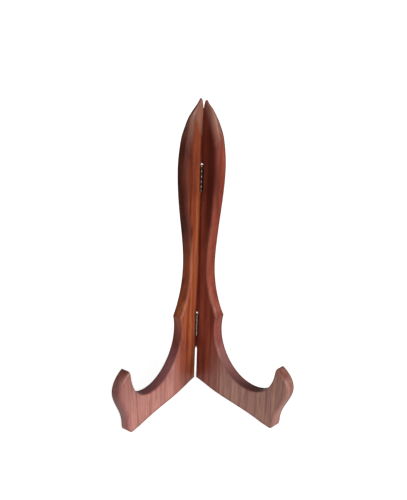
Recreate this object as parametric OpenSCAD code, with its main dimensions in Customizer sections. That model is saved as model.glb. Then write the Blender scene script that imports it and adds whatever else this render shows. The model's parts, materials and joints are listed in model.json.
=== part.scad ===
// Folding plate display stand: two mirrored wooden boards on a pair of small
// butt hinges. Opened as a V, the boards stand on their straight lower edges,
// the hooks at the front hold a plate's rim and the tall leaves carry its back.
//
// A board is drawn flat: x runs forward from its rear edge, y runs up.
// Lengths are in millimetres, and +Z is up. The origin is on the ground, under
// the middle of the stand's own box.

/* [Stand] */
// Overall height
stand_h = 300; // [294:1:330]
// Thickness of each board
board_t = 10.5; // [9:0.1:12]
// Angle between the two boards as they stand
open_angle = 77; // [60:0.5:86]

/* [Foot and hook] */
// Reach of the hook in front of the rear edge
hook_reach = 121.9; // [116:0.1:130]
// Height of the hook's foremost point
hook_front_h = 51; // [46:0.5:54]
// Distance of the hook's tip from the rear edge
hook_tip_x = 107; // [104:0.5:110]
// Height of the hook's tip
hook_tip_h = 69; // [64:0.5:74]
// Distance of the toe's front from the rear edge
toe_x = 108.3; // [102:0.1:112]
// Distance of the plate seat's lowest point from the rear edge
seat_x = 66; // [60:0.5:70]
// Height of the plate seat's lowest point
seat_h = 27.7; // [22:0.1:32]

/* [Upright] */
// Depth of the upright under the shoulder
upright_x = 25.3; // [24:0.1:28]
// Depth at the shoulder's point
shoulder_x = 27.1; // [27:0.1:30]
// Height of the shoulder's point
shoulder_h = 86.5; // [84:0.5:92]
// Depth at the waist
waist_x = 12.3; // [10:0.1:15]
// Height of the waist
waist_h = 137; // [130:1:146]
// Greatest depth of the leaf
leaf_x = 22.6; // [20:0.1:26]
// Height of the leaf's greatest depth
leaf_h = 238; // [230:1:246]
// Thickness left at the leaf's tip
tip_t = 2.4; // [2:0.1:5]

/* [Rear edge] */
// How far the rear edge is cut back at the ground
heel_cut = 1.5; // [1:0.1:3]
// Height at which the cut back starts
heel_cut_h = 40; // [36:1:48]
// How far the heel stays clear of the ground
heel_h = 2.4; // [1:0.1:3.5]

/* [Hinges] */
// Length of each hinge
hinge_len = 25.4; // [20:0.1:28]
// Width of one hinge leaf, from the pin's axis
hinge_leaf_w = 8; // [7:0.1:8.5]
// Thickness of the hinge's sheet metal
hinge_sheet = 0.9; // [0.7:0.1:1.1]
// Radius of the hinge's knuckles
knuckle_r = 1.3; // [1.2:0.05:1.4]
// Radius of the hinge pin
pin_r = 0.6; // [0.5:0.05:0.65]
// Height of the middle of the lower hinge
lower_hinge_h = 66.5; // [66:0.5:70]
// Height of the middle of the upper hinge
upper_hinge_h = 225; // [200:1:240]

/* [Screws] */
// Radius of a screw's shank
screw_r = 1; // [0.8:0.05:1.2]
// Radius of a screw's countersunk head
screw_head_r = 1.8; // [1.7:0.05:1.9]
// Length of a screw, head included
screw_len = 9.5; // [6:0.5:10]
// Distance between the two screws of one leaf
screw_pitch = 14; // [12:0.5:15]

/* [Hidden] */

$fn = 48;
wood_left = "#8e4a2f";
wood_right = "#7a3c2e";
steel = "#b9b4a8";

half_open = open_angle / 2;
// Gap between the boards when they are folded flat together.
fold_gap = 0.6;
// How far the pin's axis lies in front of the rear edge. The rear corners
// meet, and stop the opening, when the boards reach a right angle.
axis_x = 0.3;
// Gap between neighbouring knuckles, and clearance around a turning pin.
knuckle_gap = 0.1;
pin_clear = 0.05;
knuckles = 5;
knuckle_pitch = hinge_len / knuckles;
// The leaf's rear face, and its front face on the mortise's floor,
// measured forward from the pin's axis.
leaf_rear = 0.1;
leaf_front = leaf_rear + hinge_sheet;
// A leaf is cut clear of the other leaf's knuckles by this much.
knuckle_room = 0.15;
leaf_corner_r = 1;
// The pin's peened ends.
pin_head_r = 1;
pin_head_h = 0.35;

// Room around a leaf in its mortise. The notch that clears the knuckles at
// the board's inner corner reaches higher.
mortise_end = 0.45;
mortise_side = 0.3;
notch_above = 1.7;
knuckle_notch_x = 2.8;
knuckle_notch_y = 1.5;

screw_y = 4.9;
screw_slot_w = 0.5;
screw_slot_depth = 0.4;
screw_clear = 0.1;
screw_point = 2;

// Overlap that keeps a cut from ending on the face it opens.
over = 1;

// The box of the standing pair, measured from the pin's axis.
box_front = (hook_reach - axis_x) * cos(half_open) - fold_gap / 2 * sin(half_open);
box_rear = axis_x * cos(half_open) + (board_t + fold_gap / 2) * sin(half_open);
axis_y = (box_front - box_rear) / 2;

// Points along a cubic curve from a to b. The curve leaves a along the arrow
// a_out and arrives at b from the arrow b_in. Point b itself is left out.
function bend(a, a_out, b, b_in, steps) = [
    for (i = [0 : steps - 1])
        let (t = i / steps, u = 1 - t)
            a * pow(u, 3) + (a + a_out) * 3 * t * pow(u, 2)
                + (b + b_in) * 3 * pow(t, 2) * u + b * pow(t, 3)
];

// Corners of a board's outline, from the heel round by the toe to the top.
heel = [heel_cut, heel_h];
sole_rear = [31, 0];
arch_rear = [44, 0];
arch_front = [92, 0];
sole_front = [toe_x - 4, 0];
toe = [toe_x, 8];
hook_front = [hook_reach, hook_front_h];
hook_tip = [hook_tip_x, hook_tip_h];
hook_tip_rear = hook_tip - [1.4, 2.5];
seat = [seat_x, seat_h];
upright = [upright_x, 72];
shoulder = [shoulder_x, shoulder_h];
waist = [waist_x, waist_h];
leaf = [leaf_x, leaf_h];
tip = [2.9, stand_h];
tip_rear = [1.4, stand_h - 1];
rear_top = [0, stand_h - 7.5];
rear_low = [0, heel_cut_h];
rear_relief = [0.85 * heel_cut, heel_cut_h - 1.8];

foot_outline = concat(
    bend(heel, [9, -0.4], sole_rear, [-9, 0.2], 8),
    [sole_rear],
    bend(arch_rear, [22, 1.2], arch_front, [-10, 1.2], 12),
    [arch_front],
    bend(sole_front, [2.4, 0], toe, [0, -5], 8),
    bend(toe, [0, 16], hook_front, [0, -11], 16),
    bend(hook_front, [0, 9.5], hook_tip, [8, -3], 12),
    bend(hook_tip, [-0.9, 0.45], hook_tip_rear, [0.15, 1.4], 4),
    bend(hook_tip_rear, [-2, -24.5], seat, [21, -0.1], 20),
    bend(seat, [-21, 0], upright, [0, -26], 20)
);

upright_outline = concat(
    bend(upright, [0, 5], shoulder, [-1.2, -4], 6),
    bend(shoulder, [-6.9, 8.5], waist, [0.1, -23], 16),
    bend(waist, [0, 30], leaf, [0, -33], 20),
    bend(leaf, [0.2, 24], tip, [10.9, -14], 20),
    bend(tip, [-0.6, 0], tip_rear, [0, 0.6], 4),
    bend(tip_rear, [-0.6, -1.5], rear_top, [0, 2.5], 5),
    [rear_top],
    bend(rear_low, [0, -1.2], rear_relief, [0, 0.6], 6),
    [rear_relief]
);

// Thickness of a board from its side: the outer face leans in to the tip.
taper_outline = concat(
    [[0, -over], [board_t, -over]],
    bend([board_t, stand_h - 34], [0, 10], [tip_t, stand_h + 0.1], [3.1, -10], 12),
    [[tip_t, stand_h + over], [0, stand_h + over]]
);

// Board frame: x forward and y outward, both from the pin's axis, and z up.
module right_side() {
    translate([0, axis_y, 0]) rotate([0, 0, half_open - 90]) children();
}

module left_side() {
    mirror([1, 0, 0]) right_side() children();
}

module mortise() {
    low = -hinge_len / 2 - mortise_end;
    translate([-axis_x - over, 0, low])
        cube([axis_x + over + leaf_front, hinge_leaf_w + mortise_side,
              hinge_len + 2 * mortise_end]);
    translate([-axis_x - over, -over, low])
        cube([over + knuckle_notch_x, over + fold_gap / 2 + knuckle_notch_y,
              hinge_len + mortise_end + notch_above]);
}

module pilot_hole() {
    translate([leaf_front - over, screw_y, 0]) rotate([0, 90, 0])
        cylinder(r = screw_r + screw_clear / 2, h = screw_len);
}

module board() {
    difference() {
        translate([-axis_x, fold_gap / 2, 0]) intersection() {
            translate([0, board_t, 0]) rotate([90, 0, 0])
                linear_extrude(board_t) polygon(concat(foot_outline, upright_outline));
            translate([-over, 0, 0]) rotate([90, 0, 90])
                linear_extrude(hook_reach + 2 * over) polygon(taper_outline);
        }
        for (h = [lower_hinge_h, upper_hinge_h]) {
            translate([0, 0, h]) mortise();
            for (side = [-1, 1])
                translate([0, 0, h + side * screw_pitch / 2]) pilot_hole();
        }
    }
}

// Flat blank of a leaf, in its own plane: x outward from the pin, y up.
module leaf_blank() {
    corner_x = hinge_leaf_w - leaf_corner_r;
    corner_y = hinge_len / 2 - leaf_corner_r;
    translate([0, -hinge_len / 2]) square([corner_x, hinge_len]);
    translate([0, -corner_y]) square([hinge_leaf_w, 2 * corner_y]);
    for (side = [-1, 1])
        translate([corner_x, side * corner_y]) circle(r = leaf_corner_r);
}

// A leaf keeps the knuckles of one parity; the other leaf has the rest.
module hinge_leaf(parity, bore_r) {
    color(steel) difference() {
        union() {
            translate([leaf_rear, 0, 0]) rotate([90, 0, 90])
                linear_extrude(hinge_sheet) leaf_blank();
            for (i = [parity : 2 : knuckles - 1])
                translate([0, 0, -hinge_len / 2 + i * knuckle_pitch + knuckle_gap / 2])
                    cylinder(r = knuckle_r, h = knuckle_pitch - knuckle_gap);
        }
        for (i = [1 - parity : 2 : knuckles - 1])
            translate([-knuckle_r - over, -knuckle_r - over,
                       -hinge_len / 2 + i * knuckle_pitch - knuckle_gap / 2])
                cube([2 * (knuckle_r + over), 2 * knuckle_r + over + knuckle_room,
                      knuckle_pitch + knuckle_gap]);
        translate([0, 0, -hinge_len / 2 - over])
            cylinder(r = bore_r, h = hinge_len + 2 * over);
        for (side = [-1, 1])
            translate([leaf_rear, screw_y, side * screw_pitch / 2]) rotate([0, 90, 0]) {
                cylinder(r1 = screw_head_r, r2 = screw_r,
                         h = screw_head_r - screw_r);
                cylinder(r = screw_r + screw_clear / 2, h = hinge_sheet + over);
            }
    }
}

module left_leaf() {
    hinge_leaf(0, pin_r + pin_clear);
}

module right_leaf() {
    hinge_leaf(1, pin_r);
}

module hinge_pin() {
    color(steel) {
        half = hinge_len / 2 + pin_clear;
        translate([0, 0, -half]) cylinder(r = pin_r, h = 2 * half);
        for (side = [0, 1])
            mirror([0, 0, side]) translate([0, 0, half])
                cylinder(r1 = pin_head_r, r2 = pin_r, h = pin_head_h);
    }
}

// Slotted countersunk wood screw, head at the rear.
module screw() {
    head_h = screw_head_r - screw_r;
    color(steel) translate([leaf_rear, screw_y, 0]) rotate([0, 90, 0])
        difference() {
            union() {
                cylinder(r1 = screw_head_r, r2 = screw_r, h = head_h);
                translate([0, 0, head_h])
                    cylinder(r = screw_r, h = screw_len - head_h - screw_point);
                translate([0, 0, screw_len - screw_point])
                    cylinder(r1 = screw_r, r2 = screw_r / 5, h = screw_point);
            }
            translate([-screw_slot_w / 2, -screw_head_r - over, -over])
                cube([screw_slot_w, 2 * (screw_head_r + over), over + screw_slot_depth]);
        }
}

module left_board() {
    color(wood_left) left_side() board();
}

module right_board() {
    color(wood_right) right_side() board();
}

// Place one piece of a hinge, drawn about the hinge's middle, at height h.
module left_at(h) {
    left_side() translate([0, 0, h]) children();
}

module right_at(h) {
    right_side() translate([0, 0, h]) children();
}

upper_top_screw_h = upper_hinge_h + screw_pitch / 2;
upper_bottom_screw_h = upper_hinge_h - screw_pitch / 2;
lower_top_screw_h = lower_hinge_h + screw_pitch / 2;
lower_bottom_screw_h = lower_hinge_h - screw_pitch / 2;

module upper_hinge_left_leaf() left_at(upper_hinge_h) left_leaf();
module upper_hinge_right_leaf() right_at(upper_hinge_h) right_leaf();
module upper_hinge_pin() right_at(upper_hinge_h) hinge_pin();
module lower_hinge_left_leaf() left_at(lower_hinge_h) left_leaf();
module lower_hinge_right_leaf() right_at(lower_hinge_h) right_leaf();
module lower_hinge_pin() right_at(lower_hinge_h) hinge_pin();
module upper_left_top_screw() left_at(upper_top_screw_h) screw();
module upper_left_bottom_screw() left_at(upper_bottom_screw_h) screw();
module upper_right_top_screw() right_at(upper_top_screw_h) screw();
module upper_right_bottom_screw() right_at(upper_bottom_screw_h) screw();
module lower_left_top_screw() left_at(lower_top_screw_h) screw();
module lower_left_bottom_screw() left_at(lower_bottom_screw_h) screw();
module lower_right_top_screw() right_at(lower_top_screw_h) screw();
module lower_right_bottom_screw() right_at(lower_bottom_screw_h) screw();

left_board();
right_board();
upper_hinge_left_leaf();
upper_hinge_right_leaf();
upper_hinge_pin();
lower_hinge_left_leaf();
lower_hinge_right_leaf();
lower_hinge_pin();
upper_left_top_screw();
upper_left_bottom_screw();
upper_right_top_screw();
upper_right_bottom_screw();
lower_left_top_screw();
lower_left_bottom_screw();
lower_right_top_screw();
lower_right_bottom_screw();
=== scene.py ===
"""Looks for the folding plate display stand.

Two hand-finished hardwood boards are joined by two small steel butt hinges.
"""

import json
import math

import bmesh
import bpy
import numpy as np
from mathutils import Matrix, Vector, noise
from mathutils.geometry import delaunay_2d_cdt


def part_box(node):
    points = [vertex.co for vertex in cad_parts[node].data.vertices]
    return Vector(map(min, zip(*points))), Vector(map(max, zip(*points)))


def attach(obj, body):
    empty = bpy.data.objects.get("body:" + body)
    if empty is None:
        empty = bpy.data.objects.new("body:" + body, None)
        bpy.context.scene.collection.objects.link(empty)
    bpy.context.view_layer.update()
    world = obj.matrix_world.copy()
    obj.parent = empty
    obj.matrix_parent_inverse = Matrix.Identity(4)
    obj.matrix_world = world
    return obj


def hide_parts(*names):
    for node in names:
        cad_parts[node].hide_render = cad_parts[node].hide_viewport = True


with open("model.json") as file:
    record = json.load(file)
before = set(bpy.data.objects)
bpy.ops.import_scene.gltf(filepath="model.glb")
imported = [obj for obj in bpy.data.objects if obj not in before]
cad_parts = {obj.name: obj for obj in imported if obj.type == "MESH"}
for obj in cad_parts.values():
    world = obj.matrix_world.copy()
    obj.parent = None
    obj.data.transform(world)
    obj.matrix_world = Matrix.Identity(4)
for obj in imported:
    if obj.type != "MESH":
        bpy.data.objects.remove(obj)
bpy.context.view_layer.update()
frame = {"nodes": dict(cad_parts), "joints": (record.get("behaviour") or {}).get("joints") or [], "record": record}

MM = 0.001

# Sizes down to the materials are in mm and in a board's own axes: x forward and
# y outward from the hinge pin, and z up.

# ---------------------------------------------------------------- board mesh

STEP = 1.2            # spacing of points along a board's outline
CORNER = 20           # turn, in degrees, that counts as a corner of the outline
SMOOTHING = 2         # passes that even out the outline between its corners
ARRIS_STEPS = 6       # rings across a rounded arris
RING_SLACK = 0.03     # how much closer than meant to the outline a ring may come
WALL_STEPS = 3        # strips across the flat of a board's edge
FILL = 3.0            # spacing of points on the flat faces
ROW_SHARE = 0.87      # spacing of their rows over that of their columns
FILL_MARGIN = 0.3     # share of the spacing that stays clear of the arris
SHARP = 28            # crease, in degrees, that is shaded as an edge
TOUCHING = 0.01       # distance within which a point counts as on a surface
ROUNDING = 4          # decimals of a mm at which two CAD points are one
PLACES_AT_ONCE = 500  # bounds the memory that measuring takes
TRIANGLES_INSIDE = 1  # has the triangulation leave out what lies outside
SAME_PLACE = 1e-5     # distance at which it merges points
NOT_ZERO = 1e-9       # stands in for a height of nothing where it goes unused

# ------------------------------------------------------------- hand finish

HAND_WOBBLE = 0.12    # how uneven hand sanding leaves a face
WOBBLE_SIZE = 30      # length of one such unevenness
WOBBLE_GAIN = 0.8     # brings the noise up to nearly its full range
WOBBLE_CLEAR = 4      # width at the seam that stays even
WOBBLE_FADE = 6       # width over which the unevenness sets in
FRONT_SEED = 3.0
BACK_SEED_STEP = 5

# Rounded arris of the front edges, by height: how far it reaches onto the
# face, and how deep it goes into the edge.
ARRIS_HEIGHTS = [0, 10, 22, 66, 84, 92, 140, 190, 230, 262, 285, 300]
INNER_REACH = [0.6, 1.0, 1.6, 1.5, 1.5, 2.4, 3.0, 4.0, 5.0, 6.0, 8.0, 8.0]
INNER_DEPTH = [0.6, 1.0, 1.8, 2.2, 2.2, 2.6, 2.8, 3.4, 4.0, 4.0, 4.0, 3.0]
OUTER_REACH = [0.6, 0.8, 1.2, 1.2, 1.2, 1.4, 1.6, 2.0, 2.4, 2.6, 2.6, 2.0]
OUTER_DEPTH = [0.6, 0.8, 1.2, 1.2, 1.2, 1.2, 1.4, 1.8, 2.0, 2.2, 2.2, 2.0]

# Reach and depth where they differ from those.
HOOK_REAR = 1.0       # the side of a hook that faces the plate
HOOK_FRONT = {"left": (4.2, 4.6), "right": (2.2, 3.0)}   # front of hook and toe
CRISP = (0.02, 0.0)   # the rear edge stays sharp, for a tight seam
TIP_REAR = (1.6, 0.8) # the rear edge at the tip
SOLE_ARRIS = 0.5      # the edge that the stand rests on
ARRIS_BLEND = 4       # samples over which one arris runs into the next
ARRIS_SHARE = 0.9     # most of a board's thickness that its arrises may take

# Where those arrises are, and how far the edge has to face that way: the least
# part of its unit normal that lies along x or z.
HOOK_FRONT_X = 98
HOOK_REAR_X = 75
REAR_X = 3            # the rear edge lies behind this
REAR_TOP = 292        # and is rounded above this height
TOE_BOTTOM = 4
SOLE_TOP = 3
LEANING = 0.3
MOSTLY = 0.5
NEARLY_ALL = 0.7

SEAM_X = 0.2          # the inner rear corner lies behind this
SEAM_LOW = 39.5       # the boards part below this height
OFF_FACE = 0.5        # a point further than this from the inner face is on the outer one

# Hand-cut differences between the two boards, which are sawn to one pattern.
# A pair is where a difference begins and where it is full.
LEAF_Z = (140, 200)
LEAF_WIDTH = {"left": 1.09, "right": 0.95}
TIP_Z = (291, 300)
TIP_WIDTH = {"left": 0.8, "right": 0.7}
TIP_RISE = {"left": 1.0, "right": -0.7}
FULLEST_Z = 288       # height just under the tip where the leaf is fuller
FULLEST_SPREAD = 8
TIP_FULLNESS = {"left": 0.2, "right": 0.04}
HOOK_TOP_X = (90, 106)
HOOK_TOP_Z = (30, 66)
HOOK_RISE = {"left": 1.8, "right": 0.8}

# ----------------------------------------------------------------- hinges

HINGES = ("lower", "upper")
MORTISE_END = 0.45    # room around a leaf in its mortise
MORTISE_SIDE = 0.3
MORTISE_REAR = -3     # the cutters start this far behind and inside the pin
NOTCH_REAR = -4
NECK_REAR = -4.5
NECK_OVERLAP = 1      # the neck's cutter starts this far above the notch's
NOTCH_ABOVE = 1.7     # the knuckles' notch reaches this far over the hinge
NOTCH_NECK = 0.6      # share of its width that the notch keeps over the hinge
NOTCH_CLEAR = (2, 3)  # outline points this far under and over a notch go with it
NOTCH_STRIP = 5       # and only those this near the rear edge
NOTCH_FLOOR = 0.05    # distance within which a point counts as on the notch's floor
LEAF_PLATE_Y = 3      # the hinge leaf's plate lies further out than this
HINGE_BEVEL = 0.12
BEVEL_STEPS = 2
STEEL_SHARP = 40      # crease, in degrees, that is eased and shaded as an edge
STEEL_FLAT = 1        # turn, in degrees, below which CAD triangles are one face
STEEL_MERGE = 1e-6    # distance, in metres, at which CAD points are one

# ----------------------------------------------------- marks in the finish, painted shade and painted light

# A pair is where a mark begins or ends and where that change is complete.
LEAST_REACH = 0.3            # the narrowest arris that the marks reckon with
EDGE_REACH = (0.25, 1.1)     # shares of the arris's reach at which the edge gives way
INNER_HALF = (0.3, 0.6)      # share of the thickness that goes with the inner face
FRONT_X = (2, 5)             # everything but the rear edge
LEAF_MARK_Z = (95, 170)
HOOK_MARK_X = (92, 101)
UPPER_Z = (130, 190)         # the dark rim and the painted shade along the middle set in here

ORANGE_HEIGHTS = [150, 188, 222, 262, 286]   # where the left face stays orange
ORANGE_WIDTHS = [18.0, 16.5, 12.0, 12.6, 11.5]
BAND_X = (-1, 1.2)           # the dark band sets in across the orange one's limit
BAND_Z = (130, 180)
RIM_END_Z = (258, 280)       # the dark rim is mostly worn off above
RIM_WORN = 0.65
STREAKS = (0.55, 0.8)        # values of the slow noise that show as streaks
STREAK_WIDTH = 5
STREAK_SEED = {"left": 2.5, "right": 7.5}
LEFT_STREAK_X = (6, 12)
HOOK_SHADE_Z = (12, 36)
SHOULDER_Z = 58
SHOULDER_SPREAD = 13
SHOULDER_X = 40
MIDDLE_X = 11                # painted shade along the middle of the right leaf, where the left leaf shades it
MIDDLE_SPREAD = 5.5
MIDDLE_END_Z = (265, 290)
HEEL_Z = (55, 66)
SOLE_MARK_Z = 5

# Distance over which a mark fades from where it is darkest.
HOOK_FADE = {"left": 4.5, "right": 2.5}
SEAM_FADE = 2.0
HEEL_FADE = 1.3
CORNER_FADE = 1.3
SOLE_FADE = 1.2

# How dark each mark is. The hook, middle, seam, heel and corner marks are painted shade, and the sole mark is a
# painted contact shadow with dirt.
RIM_DARK = 0.85
BAND_DARK = 0.5
STREAK_DARK = {"left": 0.8, "right": 0.5}
HOOK_DARK = {"left": 0.42, "right": 0.25}
SHOULDER_DARK = 0.4
MIDDLE_DARK = 0.8
SEAM_DARK = 0.4
SEAM_DARKER = 0.2            # more of it on the leaf
HEEL_DARK = 0.7
CORNER_DARK = 0.75
SOLE_DARK = 0.8

# Painted highlights and wear on the arrises and the tip, and painted light on the pale feet.
ARRIS_LEAF_LOSS = 0.6
ARRIS_HOOK_LOSS = 0.5
TIP_MARK_Z = (255, 285)
ABOVE_FACE = (262, 268)      # heights of the left face's worn top, at the seam
ABOVE_FACE_SLOPE = 2         # its rise for each mm forward
ABOVE_FACE_WEAR = 0.9
RIDGE_Z = (225, 262)
RIDGE_SPREAD = 1.2
RIDGE_HIGHLIGHT = 0.5
RIGHT_TIP_Z = (284, 295)
RIGHT_TIP_WEAR = 0.7
LOW_Z = (30, 92)
LOW_HOOK_LOSS = 0.5
DRIFT = 16                   # how far the limit of the painted light on the foot wanders
DRIFT_WIDTH = 14
DRIFT_SEED = 4.5
PALE_X = (12, 46)
PALE_Z = (38, 72)
PALE_HOOK_LIFT = 22          # the limit lies this much higher on the hook
GRAIN_DRAW = 5               # how much longer than wide slow noise is drawn

# -------------------------------------------------------------- materials

LEFT_TONES = ["#5c261b", "#7c3a25", "#97492c", "#a75a36", "#b36a42"]
# Tones of the painted light on the left foot, standing in for light thrown up from the table.
LEFT_FOOT = ("#a4685f", "#c48b82")
LEFT_SHIFT = (0.045, 0.030, 0.02)            # metres, so that the boards' grain differs
RIGHT_TONES = ["#5a201b", "#7a3426", "#8f4231", "#9f4f3a", "#ad5f46"]
# Tones of the painted light on the right foot, standing in for light thrown up from the table.
RIGHT_FOOT = ("#a8736a", "#cfa08c")
RIGHT_SHIFT = (0.052, -0.024, 0.31)
PORE_TONE = "#2a0f0c"
# Each painted mark, from the first laid on to the last: how strongly it shows off
# the streaks and on them, and its tone.
MARKS = [
    ("edge_low", 0.45, 0.75, "#7c4650"),
    # The tip_wear_and_highlight and arris marks are painted highlights as well as wear.
    ("tip_wear_and_highlight", 0.4, 0.7, "#9a7565"),
    ("arris", 0.2, 0.5, "#b07068"),
    # The stain mark also carries painted shade: on the hooks, along the seam and its heel, along the outer corner
    # and over the middle of the right leaf, plus a painted contact shadow at the sole.
    ("stain_and_shade", 1.0, 0.8, "#3a100f")]
HINGE_TONE = "#b8a299"
SCREW_TONE = "#dcd9d2"
TARNISH_TONE = "#6b5b4d"
LONG_GRAIN = (1, 1, 0.07)    # draws a pattern out along the board
LONG_FIBRE = (1, 1, 0.03)
LONG_DRAWN = (1, 1, 0.05)
NOISE_RANGE = (0.3, 0.7)     # most of a noise lies between these values
FOOT_STREAKS = (0.35, 0.65)
PORES = (0.36, 0.5)
TARNISH = (0.42, 0.68)
SATIN = (0.36, 0.46)         # roughness of the lacquer
GRAIN_SHARE = 0.6            # what fibre and streaks each add to the relief
FIGURE_SHARE = 0.10          # what each pattern adds to the tone of the wood
STREAK_SHARE = 0.55
CLOUD_SHARE = 0.35
FOOT_SHARE = 0.85            # how far the painted light on the foot covers the wood's own tone
PORE_SHARE = 0.4
PORE_ROUGHNESS = 0.12
TARNISH_SHARE = 0.55
TARNISH_ROUGHNESS = 0.08
DRAWN_ROUGHNESS = 0.04

# ------------------------------------------------------- camera and studio

# Lengths from here on are in metres.
CAMERA_FROM_HEEL = Vector((-0.0692, -0.7474, 0.5608))   # from the foot of the hinge line
PAN, TILT, ROLL = 5.606, 28.651, 2.0                    # degrees
FOCAL_SHARE = 1.806          # focal length over the image's long side
SENSOR = 36.0
CLIP = (0.05, 50)
WORLD_LIGHT = 0.1
WARM = (1.0, 0.97, 0.94)
BOUNCE_TINT = (1.0, 0.97, 0.95)
BOUNCE_SIZE = 0.36
BOUNCE_POWER = 0.16
BOUNCE_PLACE = (0, -0.04, -0.002)            # just under the table top, facing up
FLOOR_HALF = 5.0
FLOOR_TONE = (0.9, 0.9, 0.9, 1)
FLOOR_GLOW = 0.85
BACKDROP_RADIUS = 6.0
WHITE = (1, 1, 1, 1)


# ------------------------------------------------------------- board frame

def welded(mesh):
    """Positions with duplicates merged, in mm, and the triangles that join them."""
    co = np.empty(len(mesh.vertices) * 3)
    mesh.vertices.foreach_get("co", co)
    rounded = np.round(co.reshape(-1, 3) / MM, ROUNDING)
    points, index = np.unique(rounded, axis=0, return_inverse=True)
    index = index.ravel()
    return points, np.array([[index[v] for v in p.vertices] for p in mesh.polygons])


class BoardFrame:
    """A board's own axes, in mm: x forward and y outward from the hinge pin, and z up."""

    def __init__(self, node):
        self.points, self.triangles = welded(frame["nodes"][node].data)
        self.pin = np.array(frame["joints"][0]["pos_m"]) / MM
        self.pin[2] = 0
        corners = self.points[self.triangles]
        cross = np.cross(corners[:, 1] - corners[:, 0], corners[:, 2] - corners[:, 0])
        self.hand = 1 if self.points[:, 0].mean() > 0 else -1
        outer = cross[np.sign(cross[:, 0]) == self.hand]
        flat = outer[np.argmax(np.linalg.norm(outer, axis=1))]
        self.out = flat / np.linalg.norm(flat)
        self.fwd = np.array([self.hand * self.out[1], -abs(self.out[0]), 0])
        self.turn = math.atan2(-self.fwd[1], self.fwd[0])

    def local(self, points):
        rel = np.asarray(points, float) - self.pin
        return np.stack([rel @ self.fwd, rel @ self.out, rel[..., 2]], -1)

    def world(self, x, y, z):
        """Positions in metres, in the frame that the CAD parts share."""
        x, y, z = np.broadcast_arrays(x, y, z)
        p = self.pin + x[..., None] * self.fwd + y[..., None] * self.out
        p[..., 2] = z
        return p * MM


def inner_outline(board):
    """The board's inner face, as a loop of (x, z) points, and that face's y."""
    local = board.local(board.points)
    face_y = local[:, 1].min()
    on_face = np.abs(local[:, 1] - face_y) < TOUCHING
    seen = {}
    for tri in board.triangles:
        if on_face[tri].all():
            for a, b in ((tri[0], tri[1]), (tri[1], tri[2]), (tri[2], tri[0])):
                seen.setdefault(frozenset((a, b)), []).append((a, b))
    after = {pair[0][0]: pair[0][1] for pair in seen.values() if len(pair) == 1}
    start = next(iter(after))
    loop = [start]
    while after[loop[-1]] != start:
        loop.append(after[loop[-1]])
    outline = local[loop][:, [0, 2]]
    x, z = outline.T
    if (x * np.roll(z, -1) - np.roll(x, -1) * z).sum() < 0:
        outline = outline[::-1]
    return outline, face_y


def without_notches(outline, spans):
    """The outline with its hinge notches filled, so that the rear edge runs straight."""
    below, above = NOTCH_CLEAR
    x, z = outline.T
    keep = np.ones(len(outline), bool)
    for low, high in spans:
        keep &= ~((x < NOTCH_STRIP) & (z > low - below) & (z < high + above))
    return outline[keep]


def resampled(outline):
    """Evenly spaced points along the outline, with its corners kept."""
    ahead = np.roll(outline, -1, axis=0) - outline
    behind = np.roll(ahead, 1, axis=0)
    cross = behind[:, 0] * ahead[:, 1] - behind[:, 1] * ahead[:, 0]
    turn = np.degrees(np.abs(np.arctan2(cross, (behind * ahead).sum(1))))
    corners = np.flatnonzero(turn > CORNER)
    outline = np.roll(outline, -corners[0], axis=0)
    corners = list(corners - corners[0]) + [len(outline)]
    closed = np.vstack([outline, outline[:1]])
    points, fixed = [], []
    for a, b in zip(corners, corners[1:]):
        run = closed[a:b + 1]
        lengths = np.linalg.norm(np.diff(run, axis=0), axis=1)
        along = np.concatenate([[0], np.cumsum(lengths)])
        count = max(1, round(along[-1] / STEP))
        places = np.linspace(0, along[-1], count, endpoint=False)
        points.append(np.stack([np.interp(places, along, run[:, k]) for k in (0, 1)], 1))
        fixed += [True] + [False] * (count - 1)
    points, fixed = np.vstack(points), np.array(fixed)[:, None]
    for _ in range(SMOOTHING):
        even = (np.roll(points, 1, 0) + 2 * points + np.roll(points, -1, 0)) / 4
        points = np.where(fixed, points, even)
    return points


def inward(points):
    """The unit normal at each outline point, which points into the board."""
    along = np.roll(points, -1, 0) - np.roll(points, 1, 0)
    normal = np.stack([-along[:, 1], along[:, 0]], 1)
    return normal / np.linalg.norm(normal, axis=1)[:, None]


def arris_sizes(points, normals, reaches, depths, hook=None):
    """Reach and depth of the arris at each outline point."""
    x, z = points.T
    into_x, into_z = normals.T
    sizes = np.stack([np.interp(z, ARRIS_HEIGHTS, reaches),
                      np.interp(z, ARRIS_HEIGHTS, depths)], 1)
    if hook:
        sizes[(x > HOOK_FRONT_X) & (into_x < -LEANING) & (z > TOE_BOTTOM)] = hook
    sizes[(x > HOOK_REAR_X) & (into_x > LEANING) & (into_z < MOSTLY)] = HOOK_REAR
    rear = (x < REAR_X) & (into_x > MOSTLY)
    sizes[rear & (z >= REAR_TOP)] = TIP_REAR
    rear &= z < REAR_TOP
    sizes[rear] = CRISP
    sizes[(z < SOLE_TOP) & (into_z > NEARLY_ALL)] = SOLE_ARRIS
    span = range(-ARRIS_BLEND, ARRIS_BLEND + 1)
    even = sum(np.roll(sizes, k, 0) for k in span) / len(span)
    return np.where(rear[:, None], sizes, even)


def edge_distance(places, points, sizes):
    """Distance from each place to the outline, and the arris sizes at the nearest point."""
    seg = np.roll(points, -1, 0) - points
    length2 = (seg ** 2).sum(1)
    gap = np.empty(len(places))
    near = np.empty((len(places), 2))
    for start in range(0, len(places), PLACES_AT_ONCE):
        block = places[start:start + PLACES_AT_ONCE]
        rel = block[:, None] - points
        t = np.clip((rel * seg).sum(2) / length2, 0, 1)
        d = np.linalg.norm(rel - t[..., None] * seg, axis=2)
        best = d.argmin(1)
        rows = np.arange(len(block))
        share = t[rows, best][:, None]
        gap[start:start + len(block)] = d[rows, best]
        near[start:start + len(block)] = (
            sizes[best] * (1 - share) + np.roll(sizes, -1, 0)[best] * share)
    return gap, near


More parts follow.
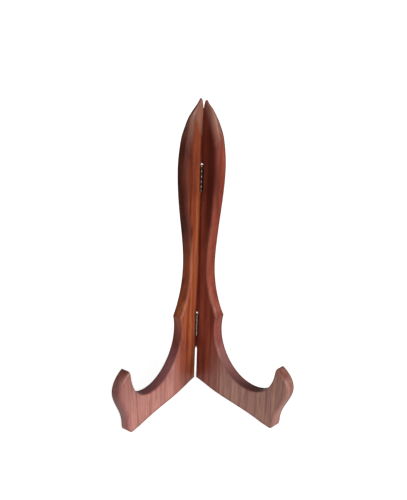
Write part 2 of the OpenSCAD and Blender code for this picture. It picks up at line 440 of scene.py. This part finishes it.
def fall(gap, reach, depth):
    """How far the rounded arris lies below the flat face."""
    share = 1 - np.clip(gap / reach, 0, 1)
    return depth * (1 - np.sqrt(np.clip(1 - share ** 2, 0, 1)))


def thinned(places, cell):
    """One point for each cell of that size."""
    _, first = np.unique(np.floor(places / cell), axis=0, return_index=True)
    return places[np.sort(first)]


def inside(places, points):
    """Whether each place lies within the outline."""
    x, z = places[:, :1], places[:, 1:]
    ax, az = points.T
    bx, bz = np.roll(points, -1, 0).T
    crosses = (az > z) != (bz > z)
    at = ax + (z - az) * (bx - ax) / np.where(bz == az, NOT_ZERO, bz - az)
    return ((crosses & (x < at)).sum(1) % 2).astype(bool)


def flat_grid(low, high):
    """A grid of even triangles over the outline's extent."""
    columns = np.arange(low[0], high[0], FILL)
    rows = np.arange(low[1], high[1], FILL * ROW_SHARE)
    grid = []
    for j, z in enumerate(rows):
        shift = FILL / 2 if j % 2 else 0
        grid += [(x + shift, z) for x in columns]
    return np.array(grid)


def sheet_points(points, normals, sizes):
    """Points that carry a face: rings that follow the arris, and a grid on the flat."""
    places = [points]
    for k in range(1, ARRIS_STEPS + 1):
        offset = sizes[:, :1] * (1 - math.cos(math.pi / 2 * k / ARRIS_STEPS))
        ring = points + normals * offset
        gap, _ = edge_distance(ring, points, sizes)
        places.append(thinned(ring[gap > offset[:, 0] - RING_SLACK], STEP / 4))
    grid = flat_grid(points.min(0), points.max(0))
    gap, near = edge_distance(grid, points, sizes)
    clear = gap > near[:, 0] + FILL_MARGIN * FILL
    places.append(grid[clear & inside(grid, points)])
    return np.vstack(places)


def triangulated(places, count):
    """Triangles over places whose first count points are the outline."""
    loop = list(range(count))
    edges = [(i, (i + 1) % count) for i in loop]
    verts, _, faces, origins, _, _ = delaunay_2d_cdt(
        [Vector(p) for p in places], edges, [loop], TRIANGLES_INSIDE, SAME_PLACE)
    flat = np.array([tuple(v) for v in verts])
    place_of = {}
    for new, olds in enumerate(origins):
        for old in olds:
            place_of[old] = new
    return flat, faces, [place_of[i] for i in loop]


def soft(value, low, high):
    """Rises smoothly from 0 at low to 1 at high."""
    t = np.clip((value - low) / (high - low), 0, 1)
    return t * t * (3 - 2 * t)


def bell(distance, spread):
    """Falls smoothly from 1 at no distance."""
    return np.exp(-(distance / spread) ** 2)


def wobble(x, z, seed):
    """A slow unevenness from 0 to 1, which fades out at the seam."""
    value = np.array([noise.noise(Vector((a / WOBBLE_SIZE, b / WOBBLE_SIZE, seed)))
                      for a, b in zip(x, z)])
    fade = np.clip((x - WOBBLE_CLEAR) / WOBBLE_FADE, 0, 1)
    return np.clip(0.5 + WOBBLE_GAIN * value, 0, 1) * fade


def hand_cut(outline, side):
    """The outline as the band saw left it on this side."""
    x, z = outline.T.copy()
    tip = soft(z, *TIP_Z)
    wide = 1 + soft(z, *LEAF_Z) * (LEAF_WIDTH[side] - 1)
    wide *= 1 + tip * (TIP_WIDTH[side] - 1)
    wide *= 1 + TIP_FULLNESS[side] * bell(z - FULLEST_Z, FULLEST_SPREAD)
    hook_top = soft(x, *HOOK_TOP_X) * soft(z, *HOOK_TOP_Z)
    new_x = np.where(x > 0, x * wide, x)
    new_z = z + TIP_RISE[side] * tip + HOOK_RISE[side] * hook_top
    return np.stack([new_x, new_z], 1)


# ------------------------------------------------------------ mesh helpers

def outward(mesh):
    """Turns every face of a closed mesh to look outward."""
    bm = bmesh.new()
    bm.from_mesh(mesh)
    bmesh.ops.recalc_face_normals(bm, faces=bm.faces)
    bm.to_mesh(mesh)
    bm.free()


def ring_faces(rings):
    """Four-sided faces between each ring of vertices and the next."""
    faces = []
    for a, b in zip(rings, rings[1:]):
        for i in range(len(a)):
            j = (i + 1) % len(a)
            faces.append([a[i], a[j], b[j], b[i]])
    return faces


def linked(name, data):
    """A new object in the scene."""
    obj = bpy.data.objects.new(name, data)
    bpy.context.scene.collection.objects.link(obj)
    return obj


def bake(obj):
    """Makes the object's modifiers part of its mesh."""
    graph = bpy.context.evaluated_depsgraph_get()
    result = bpy.data.meshes.new_from_object(obj.evaluated_get(graph))
    obj.modifiers.clear()
    obj.data = result


def box_cutter(name, board, low, high):
    """A box given in a board's own axes, in mm."""
    corners = [(x, y, z)
               for x in (low[0], high[0])
               for y in (low[1], high[1])
               for z in (low[2], high[2])]
    places = board.world(*np.array(corners).T)
    faces = [(0, 1, 3, 2), (4, 6, 7, 5), (0, 4, 5, 1), (2, 3, 7, 6), (0, 2, 6, 4), (1, 5, 7, 3)]
    mesh = bpy.data.meshes.new(name)
    mesh.from_pydata(places.tolist(), [], faces)
    outward(mesh)
    return linked(name, mesh)


def carve(obj, cutters):
    """Cuts each cutter out of obj, and removes the cutters."""
    for cutter in cutters:
        cut = obj.modifiers.new(cutter.name, "BOOLEAN")
        cut.operation = "DIFFERENCE"
        cut.solver = "EXACT"
        cut.object = cutter
    bake(obj)
    for cutter in cutters:
        bpy.data.objects.remove(cutter)


def shade(mesh, crease=SHARP):
    """Smooth shading with creases left sharp."""
    bm = bmesh.new()
    bm.from_mesh(mesh)
    for face in bm.faces:
        face.smooth = True
    for edge in bm.edges:
        edge.smooth = edge.calc_face_angle(math.pi) < math.radians(crease)
    bm.to_mesh(mesh)
    bm.free()


def coat(obj, material):
    """Gives the object this material alone."""
    obj.data.materials.clear()
    obj.data.materials.append(material)


# ------------------------------------------------------------------- board

class Board:
    """A visual board: the CAD board's outline with its arrises rounded by hand."""

    def __init__(self, side, spans):
        self.frame = BoardFrame(side + "_board")
        outline, self.face_y = inner_outline(self.frame)
        self.outline = hand_cut(resampled(without_notches(outline, spans)), side)
        self.normals = inward(self.outline)
        self.sizes = arris_sizes(
            self.outline, self.normals, INNER_REACH, INNER_DEPTH, HOOK_FRONT[side])
        self.back_sizes = arris_sizes(self.outline, self.normals, OUTER_REACH, OUTER_DEPTH)
        self.deepest = self.sizes[:, 1].max() + self.back_sizes[:, 1].max()
        self.read_taper()

    def read_taper(self):
        """The CAD board's thickness by height, which narrows towards the tip."""
        local = self.frame.local(self.frame.points)
        board_t = local[:, 1].max() - self.face_y
        on_back = local[:, 1] > self.face_y + OFF_FACE
        heights = np.round(local[on_back, 2], 1)
        depths = local[on_back, 1] - self.face_y
        levels = np.unique(heights)
        thick = np.array([depths[heights == level].max() for level in levels])
        above = levels >= levels[thick > board_t - TOUCHING].max()
        self.taper = (np.append(levels[above], levels[-1] + 1),
                      np.append(thick[above], thick[-1]))

    def thickness(self, z):
        return np.interp(z, *self.taper)

    def sheet(self, sizes):
        """A face's points and triangles, its rim, and how far its arris falls."""
        places = sheet_points(self.outline, self.normals, sizes)
        flat, faces, rim = triangulated(places, len(self.outline))
        gap, near = edge_distance(flat, self.outline, sizes)
        gap[rim] = 0
        slim = np.minimum(1, ARRIS_SHARE * self.thickness(flat[:, 1]) / self.deepest)
        return flat, faces, rim, fall(gap, near[:, 0], near[:, 1]) * slim

    def seam_reach(self):
        """How far back the inner rear corner reaches to meet the other board's."""
        rear = self.outline[:, 0].min()
        return rear + self.face_y * abs(self.frame.fwd[1] / self.frame.fwd[0])

    def front_rows(self, front, front_y):
        """Positions of the inner face, drawn back at the seam to meet the other board."""
        x, z = front.T
        seam = (x < SEAM_X) & (z > SEAM_LOW) & (z < REAR_TOP)
        return self.frame.world(x - self.seam_reach() * seam, self.face_y + front_y, z)

    def wall_rows(self, rim, near_y, far_y):
        """Rings of positions across the flat of the edge, from the inner face outward."""
        rows = []
        for k in range(1, WALL_STEPS):
            share = k / WALL_STEPS
            y = near_y * (1 - share) + far_y * share
            rows.append(self.frame.world(rim[:, 0], self.face_y + y, rim[:, 1]))
        return rows

    def mesh(self, name):
        front, front_faces, front_rim, front_fall = self.sheet(self.sizes)
        back, back_faces, back_rim, back_fall = self.sheet(self.back_sizes)
        seed = FRONT_SEED + self.frame.hand
        front_y = front_fall + HAND_WOBBLE * wobble(*front.T, seed)
        back_y = (self.thickness(back[:, 1]) - back_fall
                  - HAND_WOBBLE * wobble(*back.T, seed + BACK_SEED_STEP))
        rows = [self.front_rows(front, front_y),
                self.frame.world(back[:, 0], self.face_y + back_y, back[:, 1])]
        walls = self.wall_rows(front[front_rim], front_y[front_rim], back_y[back_rim])
        first_back = len(front)
        first_wall = first_back + len(back)
        rings = [front_rim]
        for row in walls:
            rings.append(list(range(first_wall, first_wall + len(row))))
            first_wall += len(row)
        rings.append([v + first_back for v in back_rim])
        faces = [list(f) for f in front_faces]
        faces += [[v + first_back for v in f] for f in back_faces]
        faces += ring_faces(rings)
        mesh = bpy.data.meshes.new(name)
        mesh.from_pydata(np.vstack(rows + walls).tolist(), [], faces)
        outward(mesh)
        return mesh


# ----------------------------------------------------- marks in the finish, painted shade and painted light

def patchy(x, z, size, seed):
    """Slow noise from 0 to 1, drawn out along the grain."""
    return np.array([0.5 + 0.5 * noise.noise(Vector((a / size, b / (size * GRAIN_DRAW), seed)))
                     for a, b in zip(x, z)])


def paint(mesh, name, values):
    attribute = mesh.attributes.new(name, "FLOAT", "POINT")
    attribute.data.foreach_set("value", np.clip(values, 0, 1).astype(np.float32))


class Surface:
    """Where each vertex of a carved board lies, and the shares that its marks have in common."""

    def __init__(self, board, mesh, side):
        co = np.empty(len(mesh.vertices) * 3)
        mesh.vertices.foreach_get("co", co)
        self.x, y, self.z = board.frame.local(co.reshape(-1, 3) / MM).T
        self.y = y - board.face_y
        self.side = side
        places = np.stack([self.x, self.z], 1)
        self.gap, near = edge_distance(places, board.outline, board.sizes)
        self.reach = np.maximum(near[:, 0], LEAST_REACH)
        self.thick = board.thickness(self.z)
        start, full = EDGE_REACH
        self.edge = 1 - soft(self.gap, start * self.reach, full * self.reach)
        self.inner = 1 - soft(self.y / self.thick, *INNER_HALF)
        self.front = soft(self.x, *FRONT_X)
        self.leaf = soft(self.z, *LEAF_MARK_Z)
        self.hook = soft(self.x, *HOOK_MARK_X)
        self.orange = np.interp(self.z, ORANGE_HEIGHTS, ORANGE_WIDTHS)
        streaks = patchy(self.x, self.z, STREAK_WIDTH, STREAK_SEED[side])
        self.streak = STREAK_DARK[side] * self.leaf * soft(streaks, *STREAKS)


def left_stain_and_shade(s):
    """Dark rim and band beside the left leaf's orange face, streaks, painted shade on the front of the hook, and a
    darker shoulder.
    """
    start, full = BAND_X
    band = soft(s.x, s.orange + start, s.orange + full) * s.inner * soft(s.z, *BAND_Z)
    worn = 1 - RIM_WORN * soft(s.z, *RIM_END_Z)
    return [
        RIM_DARK * s.edge * s.front * soft(s.z, *UPPER_Z) * worn,
        BAND_DARK * band,
        s.streak * soft(s.x, *LEFT_STREAK_X),
        HOOK_DARK["left"] * s.hook * np.exp(-s.gap / HOOK_FADE["left"]) * soft(s.z, *HOOK_SHADE_Z),
        SHOULDER_DARK * s.edge * bell(s.z - SHOULDER_Z, SHOULDER_SPREAD) * (s.x < SHOULDER_X)]


def right_stain_and_shade(s):
    """Painted shade along the middle of the right leaf where the left leaf shades it, streaks, a painted shadow
    line along the seam, and painted shade on the hook.
    """
    fading = soft(s.z, *UPPER_Z) * (1 - soft(s.z, *MIDDLE_END_Z))
    middle = bell(s.x - MIDDLE_X, MIDDLE_SPREAD) * fading
    return [
        MIDDLE_DARK * middle * (1 - s.edge) * s.inner,
        s.streak * (1 - s.edge),
        (SEAM_DARK + SEAM_DARKER * s.leaf) * np.exp(-s.x / SEAM_FADE) * s.inner,
        HOOK_DARK["right"] * s.hook * np.exp(-s.gap / HOOK_FADE["right"])]


def shared_shade_and_dirt(s):
    """Painted shade in the heel of the seam and along the outer corner, and along the sole a painted contact
    shadow with dirt.
    """
    return [
        HEEL_DARK * np.exp(-s.x / HEEL_FADE) * (1 - soft(s.z, *HEEL_Z)),
        CORNER_DARK * np.exp(-np.hypot(s.gap, s.thick - s.y) / CORNER_FADE),
        SOLE_DARK * np.exp(-np.hypot(s.gap, s.y) / SOLE_FADE) * (s.z < SOLE_MARK_Z)]


def arris_highlight_and_wear(s):
    """A painted highlight along the arris, where the finish is also rubbed pale."""
    share = np.clip(s.gap / s.reach, 0, 1)
    wear = np.sin(math.pi * (1 - share)) ** 2 * s.inner * s.front
    return wear * ((1 - ARRIS_LEAF_LOSS * s.leaf) * (1 - ARRIS_HOOK_LOSS * s.hook))


def tip_wear_and_highlight(s):
    """The finish worn at the tip with a painted highlight over it, and on the left a painted highlight along the
    ridge beside the orange face.
    """
    marks = [soft(s.z, *TIP_MARK_Z) * s.edge * s.front]
    if s.side == "left":
        above = soft(s.z - ABOVE_FACE_SLOPE * s.x, *ABOVE_FACE)
        ridge = bell(s.x - s.orange, RIDGE_SPREAD) * soft(s.z, *RIDGE_Z)
        marks += [ABOVE_FACE_WEAR * above * s.inner, RIDGE_HIGHLIGHT * ridge * s.inner]
    else:
        marks += [RIGHT_TIP_WEAR * soft(s.z, *RIGHT_TIP_Z) * s.inner]
    return marks


def painted_foot_light(s):
    """Painted light on the foot, standing in for light thrown up from the table, with a limit that wanders."""
    drift = DRIFT * (patchy(s.x, s.z, DRIFT_WIDTH, DRIFT_SEED) - 0.5)
    height = s.z + drift - PALE_HOOK_LIFT * s.hook
    return soft(s.x + drift, *PALE_X) * (1 - soft(height, *PALE_Z))


def strongest(marks):
    return np.maximum.reduce(marks)


def finish_and_light_marks(board, mesh, side):
    """Paints where the finish is dark, worn or pale, and where painted shade, painted highlights and painted light
    lie, as values from 0 to 1 at each point.
    """
    s = Surface(board, mesh, side)
    own_stain_and_shade = left_stain_and_shade(s) if side == "left" else right_stain_and_shade(s)
    low = (1 - soft(s.z, *LOW_Z)) * (1 - LOW_HOOK_LOSS * s.hook)
    # Painted shade goes in with the stains, painted highlights with the wear on the arris and tip, and painted
    # light on the foot with the pale mark.
    paint(mesh, "stain_and_shade", strongest(own_stain_and_shade + shared_shade_and_dirt(s)))
    paint(mesh, "arris", arris_highlight_and_wear(s))
    paint(mesh, "tip_wear_and_highlight", strongest(tip_wear_and_highlight(s)))
    paint(mesh, "edge_low", s.edge * low * s.front)
    paint(mesh, "pale", painted_foot_light(s))


# ---------------------------------------------------------------- node work

class Nodes:
    """Builds a material's node tree in few words."""

    def __init__(self, material):
        material.use_nodes = True
        self.tree = material.node_tree
        self.tree.nodes.clear()

    def add(self, kind, inputs=None, **settings):
        node = self.tree.nodes.new("ShaderNode" + kind)
        for key, value in settings.items():
            setattr(node, key, value)
        for key, value in (inputs or {}).items():
            if isinstance(value, bpy.types.NodeSocket):
                self.tree.links.new(value, node.inputs[key])
            else:
                node.inputs[key].default_value = value
        return node

    def math(self, operation, a, b):
        return self.add("Math", {0: a, 1: b}, operation=operation).outputs[0]

    def mix(self, share, a, b):
        return self.add("Mix", {0: share, 6: a, 7: b}, data_type="RGBA").outputs[2]

    def ramp(self, value, tones):
        """Runs through the tones, evenly spaced, as the value goes from 0 to 1."""
        node = self.add("ValToRGB", {0: value})
        elements = node.color_ramp.elements
        while len(elements) < len(tones):
            elements.new(0.5)
        for i, (element, tone) in enumerate(zip(elements, tones)):
            element.position = i / (len(tones) - 1)
            element.color = srgb(tone)
        return node.outputs[0]

    def span(self, value, low, high, to_low=0.0, to_high=1.0):
        node = self.add("MapRange", {0: value, 1: low, 2: high, 3: to_low, 4: to_high})
        return node.outputs[0]

    def noise(self, place, scale, detail, **more):
        inputs = {"Vector": place, "Scale": scale, "Detail": detail}
        inputs.update({key.title(): value for key, value in more.items()})
        return self.add("TexNoise", inputs).outputs["Fac"]

    def bump(self, height, strength, distance):
        inputs = {"Height": height, "Strength": strength, "Distance": distance}
        return self.add("Bump", inputs).outputs[0]


def srgb(text):
    """Linear colour of a hex code."""
    parts = [int(text[i:i + 2], 16) / 255 for i in (1, 3, 5)]
    return [p / 12.92 if p <= 0.04045 else ((p + 0.055) / 1.055) ** 2.4 for p in parts] + [1.0]


def marked(n, colour, streak, name, weak, strong, tone):
    """The colour with a painted mark over it, stronger where the streaks are."""
    amount = n.add("Attribute", attribute_name=name).outputs["Fac"]
    share = n.math("MULTIPLY", amount, n.span(streak, *NOISE_RANGE, weak, strong))
    return n.mix(share, colour, srgb(tone))


def wood_tone(n, board, long, streak, tones):
    """The wood's own colour, from its figure, its streaks and slow clouds."""
    figure = n.add("TexWave", {"Vector": long, "Scale": 34, "Distortion": 5.0, "Detail": 3.0,
                               "Detail Scale": 2.2, "Detail Roughness": 0.55},
                   wave_type="RINGS", rings_direction="Z").outputs["Fac"]
    cloud = n.noise(board, scale=22, detail=3)
    tone = n.math("ADD", n.math("MULTIPLY", figure, FIGURE_SHARE),
                  n.math("MULTIPLY", streak, STREAK_SHARE))
    tone = n.math("ADD", tone, n.math("MULTIPLY", cloud, CLOUD_SHARE))
    return n.ramp(n.span(tone, *NOISE_RANGE), tones)


def foot_light_over(n, colour, streak, foot_tones):
    """The painted light on the foot over the wood's colour."""
    light, lighter = foot_tones
    foot = n.mix(n.span(streak, *FOOT_STREAKS), srgb(light), srgb(lighter))
    pale = n.add("Attribute", attribute_name="pale").outputs["Fac"]
    return n.mix(n.math("MULTIPLY", pale, FOOT_SHARE), colour, foot)


def wood_material(name, turn, shift, tones, foot_tones):
    """Rosewood-brown hardwood with its grain along the board, under satin lacquer."""
    material = bpy.data.materials.new(name)
    n = Nodes(material)
    place = n.add("TexCoord").outputs["Object"]
    axes = {"Vector": place, "Rotation": (0, 0, turn), "Location": shift}
    board = n.add("Mapping", axes).outputs[0]
    long = n.add("Mapping", {"Vector": board, "Scale": LONG_GRAIN}).outputs[0]
    fibre = n.add("Mapping", {"Vector": board, "Scale": LONG_FIBRE}).outputs[0]
    streak = n.noise(long, scale=230, detail=5, roughness=0.6, distortion=0.4)
    fine = n.noise(fibre, scale=1500, detail=3, roughness=0.7)

    colour = wood_tone(n, board, long, streak, tones)
    # painted light on the foot
    colour = foot_light_over(n, colour, streak, foot_tones)
    pores = n.span(fine, *PORES)
    colour = n.mix(n.span(pores, 0, 1, PORE_SHARE, 0), colour, srgb(PORE_TONE))
    for mark, weak, strong, tone in MARKS:
        colour = marked(n, colour, streak, mark, weak, strong, tone)

    open_pores = n.math("MULTIPLY", n.math("SUBTRACT", 1, pores), PORE_ROUGHNESS)
    rough = n.math("ADD", n.span(streak, *NOISE_RANGE, *SATIN), open_pores)
    grain = n.math("ADD", n.math("MULTIPLY", fine, GRAIN_SHARE),
                   n.math("MULTIPLY", streak, GRAIN_SHARE))
    bump = n.bump(grain, strength=0.25, distance=0.0002)
    shader = n.add("BsdfPrincipled", {
        "Base Color": colour, "Roughness": rough, "Normal": bump,
        "Specular IOR Level": 0.25, "Coat Weight": 0.12, "Coat Roughness": 0.22}).outputs[0]
    n.add("OutputMaterial", {"Surface": shader})
    return material


def steel_material(name, tone, roughness):
    """Pressed sheet steel: faint drawing lines and dull patches."""
    material = bpy.data.materials.new(name)
    n = Nodes(material)
    place = n.add("TexCoord").outputs["Object"]
    drawn = n.add("Mapping", {"Vector": place, "Scale": LONG_DRAWN}).outputs[0]
    lines = n.noise(drawn, scale=3500, detail=3)
    dull = n.span(n.noise(place, scale=260, detail=4), *TARNISH)
    colour = n.mix(n.math("MULTIPLY", dull, TARNISH_SHARE), srgb(tone), srgb(TARNISH_TONE))
    smooth, rough = roughness - DRAWN_ROUGHNESS, roughness + DRAWN_ROUGHNESS
    lined = n.span(lines, *NOISE_RANGE, smooth, rough)
    tarnished = n.math("ADD", lined, n.math("MULTIPLY", dull, TARNISH_ROUGHNESS))
    bump = n.bump(lines, strength=0.15, distance=0.00005)
    shader = n.add("BsdfPrincipled", {
        "Base Color": colour, "Roughness": tarnished, "Normal": bump, "Metallic": 1.0}).outputs[0]
    n.add("OutputMaterial", {"Surface": shader})
    return material


def floor_material():
    """White table top, lit from within so that it stays pale to the edge of the picture."""
    material = bpy.data.materials.new("floor")
    material.use_nodes = True
    shader = material.node_tree.nodes["Principled BSDF"]
    shader.inputs["Base Color"].default_value = FLOOR_TONE
    shader.inputs["Roughness"].default_value = 0.9
    shader.inputs["Specular IOR Level"].default_value = 0.0
    shader.inputs["Emission Color"].default_value = WHITE
    shader.inputs["Emission Strength"].default_value = FLOOR_GLOW
    return material


def backdrop_material():
    material = bpy.data.materials.new("backdrop")
    n = Nodes(material)
    glow = n.add("Emission", {"Color": WHITE, "Strength": 1.0}).outputs[0]
    n.add("OutputMaterial", {"Surface": glow})
    return material


# ------------------------------------------------------------------ pieces

def hinge_spans():
    """Height range of each hinge's notch, in mm."""
    spans = []
    for name in HINGES:
        low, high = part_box(name + "_hinge_right_leaf")
        spans.append((low.z / MM - MORTISE_END, high.z / MM + NOTCH_ABOVE))
    return spans


def notch_size(board, floor_z):
    """How far the knuckle notch reaches forward and outward, read off the CAD board."""
    x, y, z = board.local(board.points).T
    at_floor = np.abs(z - floor_z) < NOTCH_FLOOR
    notch_x = x[at_floor & (y < LEAF_PLATE_Y)].max()
    notch_y = y[at_floor & (np.abs(x - notch_x) < NOTCH_FLOOR)].max()
    return notch_x, notch_y


def leaf_size(board, node):
    """The hinge leaf's front face and outer edge in the board's axes."""
    x, y, _ = board.local(welded(frame["nodes"][node].data)[0]).T
    return x[y > LEAF_PLATE_Y].max(), y.max()


def hinge_cutters(board, side, spans):
    """What the joiner chisels out for each hinge: mortise, knuckle notch and its neck."""
    notch_x, notch_y = notch_size(board, spans[0][0])
    leaf_x, leaf_y = leaf_size(board, f"upper_hinge_{side}_leaf")
    cutters = []
    for k, (low, high) in enumerate(spans):
        leaf_top = high - NOTCH_ABOVE + MORTISE_END
        mortise = (leaf_x, leaf_y + MORTISE_SIDE, leaf_top)
        notch = (notch_x, notch_y, leaf_top)
        neck = (NOTCH_NECK * notch_x, NOTCH_NECK * notch_y, high)
        cutters += [
            box_cutter(f"mortise_{k}", board, (MORTISE_REAR, MORTISE_REAR, low), mortise),
            box_cutter(f"notch_{k}", board, (NOTCH_REAR, NOTCH_REAR, low), notch),
            box_cutter(f"neck_{k}", board, (NECK_REAR, NECK_REAR, low + NECK_OVERLAP), neck)]
    return cutters


def make_board(side, material):
    node = side + "_board"
    spans = hinge_spans()
    board = Board(side, spans)
    obj = linked(side + "_board_wood", board.mesh(node + "_wood"))
    carve(obj, hinge_cutters(board.frame, side, spans))
    finish_and_light_marks(board, obj.data, side)
    shade(obj.data)
    coat(obj, material)
    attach(obj, side + "_side")
    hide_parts(node)


def make_boards():
    turn = {side: BoardFrame(side + "_board").turn for side in ("left", "right")}
    left = wood_material("left_wood", turn["left"], LEFT_SHIFT, LEFT_TONES, LEFT_FOOT)
    right = wood_material("right_wood", turn["right"], RIGHT_SHIFT, RIGHT_TONES, RIGHT_FOOT)
    make_board("left", left)
    make_board("right", right)


def eased_copy(node, bevel, material, body):
    """A steel part with its CAD shape, its edges eased as pressing and turning leave them."""
    mesh = bpy.data.meshes.new(node + "_eased")
    bm = bmesh.new()
    bm.from_mesh(frame["nodes"][node].data)
    bmesh.ops.remove_doubles(bm, verts=bm.verts, dist=STEEL_MERGE)
    bmesh.ops.dissolve_limit(
        bm, angle_limit=math.radians(STEEL_FLAT), verts=bm.verts, edges=bm.edges)
    bm.to_mesh(mesh)
    bm.free()
    obj = linked(node + "_steel", mesh)
    ease = obj.modifiers.new("ease", "BEVEL")
    ease.width = bevel * MM
    ease.segments = BEVEL_STEPS
    ease.limit_method = "ANGLE"
    ease.angle_limit = math.radians(STEEL_SHARP)
    bake(obj)
    shade(obj.data, STEEL_SHARP)
    coat(obj, material)
    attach(obj, body)
    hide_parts(node)


def make_hardware():
    sheet = steel_material("hinge_steel", HINGE_TONE, roughness=0.13)
    bright = steel_material("screw_steel", SCREW_TONE, roughness=0.22)
    for body, members in frame["record"]["behaviour"]["bodies"].items():
        for node in members:
            if "screw" in node:
                eased_copy(node, HINGE_BEVEL / 2, bright, body)
            elif "hinge" in node:
                eased_copy(node, HINGE_BEVEL, sheet, body)


# ------------------------------------------------------- camera and studio

def make_camera():
    data = bpy.data.cameras.new("camera")
    data.sensor_width = SENSOR
    data.lens = SENSOR * FOCAL_SHARE
    data.clip_start, data.clip_end = CLIP
    camera = linked("camera", data)
    pan, tilt, roll = (math.radians(a) for a in (PAN, TILT, ROLL))
    ahead = Vector((math.sin(pan) * math.cos(tilt), math.cos(pan) * math.cos(tilt), -math.sin(tilt)))
    right = Vector((math.cos(pan), -math.sin(pan), 0))
    up = right.cross(ahead)
    right, up = (math.cos(roll) * right + math.sin(roll) * up,
                 math.cos(roll) * up - math.sin(roll) * right)
    turn = Matrix((right, up, -ahead)).transposed().to_4x4()
    heel = Vector(frame["joints"][0]["pos_m"])
    heel.z = 0
    camera.matrix_world = Matrix.Translation(heel + CAMERA_FROM_HEEL) @ turn
    bpy.context.scene.camera = camera


def make_sun(name, azimuth, elevation, strength, softness, colour=(1, 1, 1)):
    """A light from far off: azimuth is to the right of the front, in degrees."""
    data = bpy.data.lights.new(name, "SUN")
    data.energy = strength
    data.angle = math.radians(softness)
    data.color = colour
    sun = linked(name, data)
    a, e = math.radians(azimuth), math.radians(elevation)
    towards = Vector((math.sin(a) * math.cos(e), -math.cos(a) * math.cos(e), math.sin(e)))
    sun.rotation_euler = towards.to_track_quat("Z", "Y").to_euler()


def make_bounce():
    """Light that a white table top throws back onto the lower parts."""
    data = bpy.data.lights.new("bounce", "AREA")
    data.shape = "DISK"
    data.size = BOUNCE_SIZE
    data.energy = BOUNCE_POWER
    data.color = BOUNCE_TINT
    bounce = linked("bounce", data)
    bounce.location = BOUNCE_PLACE
    bounce.rotation_euler = (math.pi, 0, 0)


def only_seen(obj):
    """Shown to the camera, without lighting or shading anything."""
    obj.visible_diffuse = False
    obj.visible_glossy = False
    obj.visible_shadow = False


def make_floor():
    mesh = bpy.data.meshes.new("floor")
    corners = [(x * FLOOR_HALF, y * FLOOR_HALF, 0) for x, y in ((-1, -1), (1, -1), (1, 1), (-1, 1))]
    mesh.from_pydata(corners, [], [(0, 1, 2, 3)])
    floor = linked("floor", mesh)
    coat(floor, floor_material())
    only_seen(floor)


def make_backdrop():
    mesh = bpy.data.meshes.new("backdrop")
    bm = bmesh.new()
    bmesh.ops.create_icosphere(bm, subdivisions=3, radius=BACKDROP_RADIUS)
    bm.to_mesh(mesh)
    bm.free()
    backdrop = linked("backdrop", mesh)
    coat(backdrop, backdrop_material())
    only_seen(backdrop)


def make_studio():
    scene = bpy.context.scene
    scene.view_settings.view_transform = "Standard"
    world = bpy.data.worlds.new("studio")
    scene.world = world
    world.use_nodes = True
    background = world.node_tree.nodes["Background"]
    background.inputs["Color"].default_value = WHITE
    background.inputs["Strength"].default_value = WORLD_LIGHT
    make_sun("key", azimuth=48, elevation=16, strength=2.2, softness=18, colour=WARM)
    make_sun("fill", azimuth=-5, elevation=18, strength=1.1, softness=60)
    make_bounce()
    make_floor()
    make_backdrop()


# -------------------------------------------------------------------- build

make_camera()
make_studio()
make_boards()
make_hardware()
